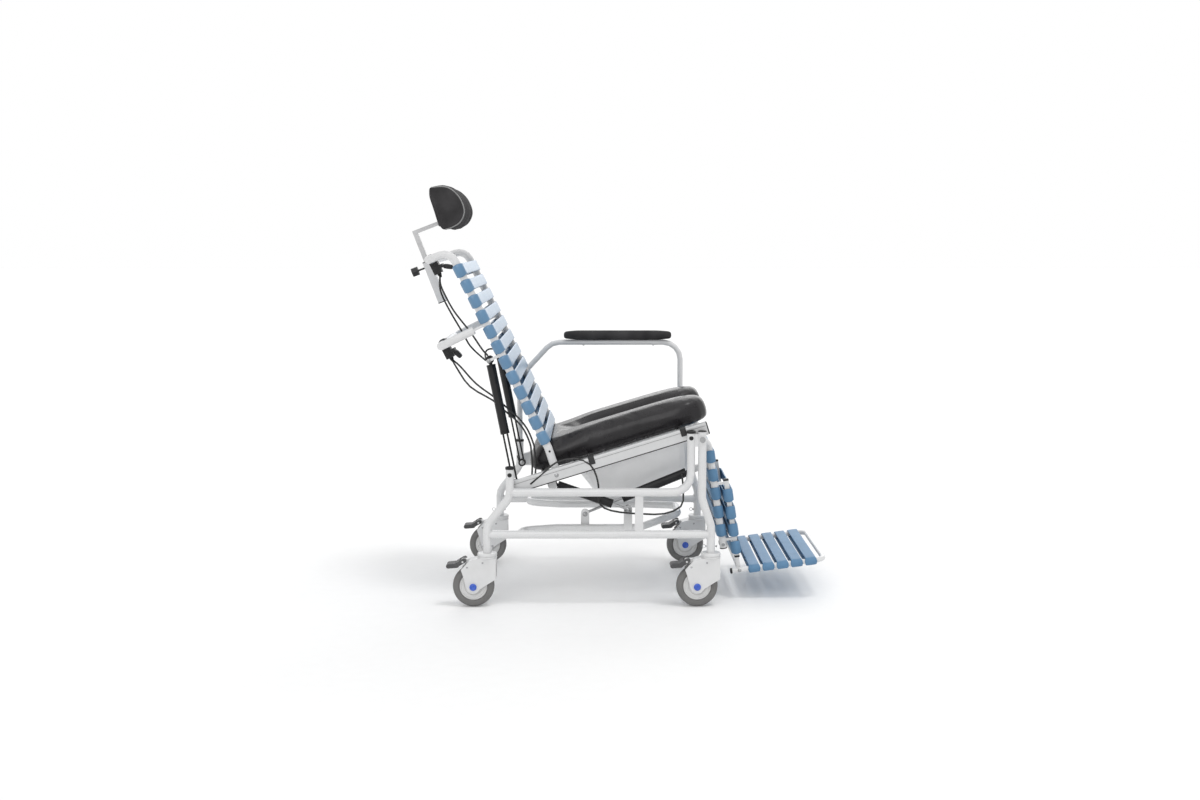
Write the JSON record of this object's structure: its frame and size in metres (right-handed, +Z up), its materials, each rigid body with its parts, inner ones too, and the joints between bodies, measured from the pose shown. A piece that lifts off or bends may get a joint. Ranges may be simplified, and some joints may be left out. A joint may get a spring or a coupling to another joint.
{
  "type": "tilting shower commode chair",
  "caption": "Wheeled shower and commode chair with a tilting open-front seat and pan, a reclining strap back, a headrest, a lift-off armrest and an elevating legrest with a footrest.",
  "frame": {"origin": "on the floor, in the middle of the chair's overall length and width", "axes": "+X to the front of the chair, +Y to the sitter's left, +Z up"},
  "size_m": [1.3109, 0.646, 1.2721],
  "materials": {
    "white_frame": "gloss powder coat",
    "white_plastic": "satin",
    "wheel": "matte grey tyre bonded on a pale hub",
    "dark_plastic": "satin",
    "black_metal": "semi-gloss",
    "steel": "bright",
    "grey_bar": "satin",
    "black_vinyl": "satin vinyl",
    "blue_strap": "satin",
    "pan_plastic": "satin",
    "cable": "matte"
  },
  "bodies": {
    "base": {"base_frame_right": "white_frame", "base_frame_left": "white_frame", "base_brace": "white_frame", "knee_bolt_right": "steel", "knee_bolt_left": "steel"},
    "seat": {"seat_frame": "white_frame", "seat_cushion": "black_vinyl", "legrest_cable": "cable"},
    "pan": {"commode_pan": "pan_plastic"},
    "back": {"back_frame": "white_frame", "back_strap_01": "blue_strap", "back_strap_02": "blue_strap", "back_strap_03": "blue_strap", "back_strap_04": "blue_strap", "back_strap_05": "blue_strap", "back_strap_06": "blue_strap", "back_strap_07": "blue_strap", "back_strap_08": "blue_strap", "back_strap_09": "blue_strap", "back_strap_10": "blue_strap", "back_strap_11": "blue_strap", "back_strap_12": "blue_strap", "recline_lever_housing": "dark_plastic", "tilt_lever_housing": "dark_plastic", "recline_cables": "cable", "tilt_cable": "cable"},
    "recline_cylinders": {"recline_cylinder_right": "black_metal", "recline_cylinder_left": "black_metal"},
    "recline_rods": {"recline_rod_right": "steel", "recline_rod_left": "steel"},
    "tilt_spring_cylinder": {"tilt_cylinder": "black_metal"},
    "tilt_spring_rod": {"tilt_rod": "steel"},
    "legrest_spring_rod": {"legrest_rod": "steel"},
    "legrest_spring_cylinder": {"legrest_cylinder": "black_metal"},
    "headrest": {"headrest_post": "grey_bar"},
    "headrest_cushion": {"headrest_pad": "black_vinyl"},
    "headrest_clamp": {"headrest_knob": "dark_plastic"},
    "recline_trigger": {"recline_lever": "dark_plastic"},
    "tilt_trigger": {"tilt_lever": "dark_plastic"},
    "armrest": {"armrest_frame": "white_frame", "armrest_pad": "black_vinyl"},
    "legrest": {"legrest_frame": "white_frame", "calf_straps": "blue_strap", "shin_straps": "blue_strap"},
    "hanger": {"footrest_hanger": "white_frame"},
    "footrest": {"footrest_frame": "white_frame", "foot_straps": "blue_strap"},
    "caster_front_right": {"caster_fork_front_right": "white_plastic"},
    "wheel_front_right": {"caster_wheel_front_right": "wheel"},
    "pedal_front_right": {"caster_pedal_front_right": "dark_plastic"},
    "caster_front_left": {"caster_fork_front_left": "white_plastic"},
    "wheel_front_left": {"caster_wheel_front_left": "wheel"},
    "pedal_front_left": {"caster_pedal_front_left": "dark_plastic"},
    "caster_rear_right": {"caster_fork_rear_right": "white_plastic"},
    "wheel_rear_right": {"caster_wheel_rear_right": "wheel"},
    "pedal_rear_right": {"caster_pedal_rear_right": "dark_plastic"},
    "caster_rear_left": {"caster_fork_rear_left": "white_plastic"},
    "wheel_rear_left": {"caster_wheel_rear_left": "wheel"},
    "pedal_rear_left": {"caster_pedal_rear_left": "dark_plastic"}
  },
  "joints": [
    {"name": "seat_tilt", "type": "hinge", "parent": "base", "child": "seat", "pos_m": [0.2605, 0, 0.512], "axis": [0, -1, 0], "range_deg": [-16, 2], "deforming": ["legrest_cable"]},
    {"name": "pan_slide", "type": "slide", "parent": "seat", "child": "pan", "axis": [-0.9553, 0, -0.2957], "range_m": [0, 0.25]},
    {"name": "back_recline", "type": "hinge", "parent": "seat", "child": "back", "pos_m": [-0.18217, 0, 0.40166], "axis": [0, -1, 0], "range_deg": [-5, 30], "deforming": ["tilt_cable"]},
    {"name": "recline_spring_swing", "type": "hinge", "parent": "back", "child": "recline_cylinders", "pos_m": [-0.38809, 0, 0.74653], "axis": [0, -1, 0], "range_deg": [-3, 3]},
    {"name": "recline_spring_stroke", "type": "slide", "parent": "recline_cylinders", "child": "recline_rods", "axis": [0.1959, 0, -0.9806], "range_m": [-0.075, 0.015]},
    {"name": "tilt_spring_swing", "type": "hinge", "parent": "seat", "child": "tilt_spring_cylinder", "pos_m": [-0.19459, -0.218, 0.36401], "axis": [0, -1, 0], "range_deg": [-7, 3]},
    {"name": "tilt_spring_stroke", "type": "slide", "parent": "tilt_spring_cylinder", "child": "tilt_spring_rod", "axis": [0.9441, 0, -0.3295], "range_m": [-0.014, 0.09]},
    {"name": "legrest_elevate", "type": "hinge", "parent": "base", "child": "legrest", "pos_m": [0.2605, 0, 0.512], "axis": [0, -1, 0], "range_deg": [0, 60], "deforming": ["legrest_cable"]},
    {"name": "legrest_spring_swing", "type": "hinge", "parent": "base", "child": "legrest_spring_rod", "pos_m": [-0.0955, -0.172, 0.262], "axis": [0, -1, 0], "range_deg": [-5, 3]},
    {"name": "legrest_spring_stroke", "type": "slide", "parent": "legrest_spring_rod", "child": "legrest_spring_cylinder", "axis": [0.9255, 0, 0.3786], "range_m": [-0.005, 0.12]},
    {"name": "footrest_height", "type": "slide", "parent": "legrest", "child": "hanger", "axis": [0.1478, 0, -0.989], "range_m": [0, 0.04]},
    {"name": "footrest_flip", "type": "hinge", "parent": "hanger", "child": "footrest", "pos_m": [0.38429, 0, 0.08966], "axis": [0, -1, 0], "range_deg": [0, 55]},
    {"name": "headrest_height", "type": "slide", "parent": "back", "child": "headrest", "axis": [-0.3616, 0, 0.9323], "range_m": [-0.05, 0.08]},
    {"name": "headrest_angle", "type": "hinge", "parent": "headrest", "child": "headrest_cushion", "pos_m": [-0.56579, 0, 1.16584], "axis": [0, -1, 0], "range_deg": [-15, 15]},
    {"name": "headrest_clamp_turn", "type": "hinge", "parent": "back", "child": "headrest_clamp", "pos_m": [-0.63086, 0, 1.01446], "axis": [-0.9323, 0, -0.3616], "continuous": true},
    {"name": "recline_squeeze", "type": "hinge", "parent": "back", "child": "recline_trigger", "pos_m": [-0.54456, -0.1, 1.03281], "axis": [0, -1, 0], "range_deg": [0, 15], "stiffness_Nm_per_rad": 1, "springref_deg": -8.59},
    {"name": "tilt_squeeze", "type": "hinge", "parent": "back", "child": "tilt_trigger", "pos_m": [-0.50901, -0.1, 0.76805], "axis": [0, -1, 0], "range_deg": [0, 15], "stiffness_Nm_per_rad": 1, "springref_deg": -8.59},
    {"name": "armrest_lift", "type": "slide", "parent": "base", "child": "armrest", "axis": [0, 0, 1], "range_m": [0, 0.12]},
    {"name": "swivel_front_right", "type": "hinge", "parent": "base", "child": "caster_front_right", "pos_m": [0.288, -0.295, 0.18], "axis": [0, 0, 1], "continuous": true},
    {"name": "roll_front_right", "type": "hinge", "parent": "caster_front_right", "child": "wheel_front_right", "pos_m": [0.246, -0.295, 0.0635], "axis": [0, 1, 0], "continuous": true},
    {"name": "brake_front_right", "type": "hinge", "parent": "caster_front_right", "child": "pedal_front_right", "pos_m": [0.214, -0.295, 0.14], "axis": [0, 1, 0], "range_deg": [-12, 8]},
    {"name": "swivel_front_left", "type": "hinge", "parent": "base", "child": "caster_front_left", "pos_m": [0.288, 0.295, 0.18], "axis": [0, 0, 1], "continuous": true},
    {"name": "roll_front_left", "type": "hinge", "parent": "caster_front_left", "child": "wheel_front_left", "pos_m": [0.246, 0.295, 0.0635], "axis": [0, 1, 0], "continuous": true},
    {"name": "brake_front_left", "type": "hinge", "parent": "caster_front_left", "child": "pedal_front_left", "pos_m": [0.214, 0.295, 0.14], "axis": [0, 1, 0], "range_deg": [-12, 8]},
    {"name": "swivel_rear_right", "type": "hinge", "parent": "base", "child": "caster_rear_right", "pos_m": [-0.3925, -0.295, 0.18], "axis": [0, 0, 1], "continuous": true},
    {"name": "roll_rear_right", "type": "hinge", "parent": "caster_rear_right", "child": "wheel_rear_right", "pos_m": [-0.4345, -0.295, 0.0635], "axis": [0, 1, 0], "continuous": true},
    {"name": "brake_rear_right", "type": "hinge", "parent": "caster_rear_right", "child": "pedal_rear_right", "pos_m": [-0.4665, -0.295, 0.14], "axis": [0, 1, 0], "range_deg": [-12, 8]},
    {"name": "swivel_rear_left", "type": "hinge", "parent": "base", "child": "caster_rear_left", "pos_m": [-0.3925, 0.295, 0.18], "axis": [0, 0, 1], "continuous": true},
    {"name": "roll_rear_left", "type": "hinge", "parent": "caster_rear_left", "child": "wheel_rear_left", "pos_m": [-0.4345, 0.295, 0.0635], "axis": [0, 1, 0], "continuous": true},
    {"name": "brake_rear_left", "type": "hinge", "parent": "caster_rear_left", "child": "pedal_rear_left", "pos_m": [-0.4665, 0.295, 0.14], "axis": [0, 1, 0], "range_deg": [-12, 8]}
  ],
  "couplings": [
    {"joint": "recline_spring_swing", "follows": "back_recline", "ratio": 0.04515},
    {"joint": "recline_spring_stroke", "follows": "back_recline", "m_per_rad": -0.13245},
    {"joint": "tilt_spring_swing", "follows": "seat_tilt", "ratio": 0.31686},
    {"joint": "tilt_spring_stroke", "follows": "seat_tilt", "m_per_rad": -0.30532},
    {"joint": "legrest_spring_swing", "follows": "legrest_elevate", "ratio": -0.0441},
    {"joint": "legrest_spring_stroke", "follows": "legrest_elevate", "m_per_rad": 0.11046}
  ]
}
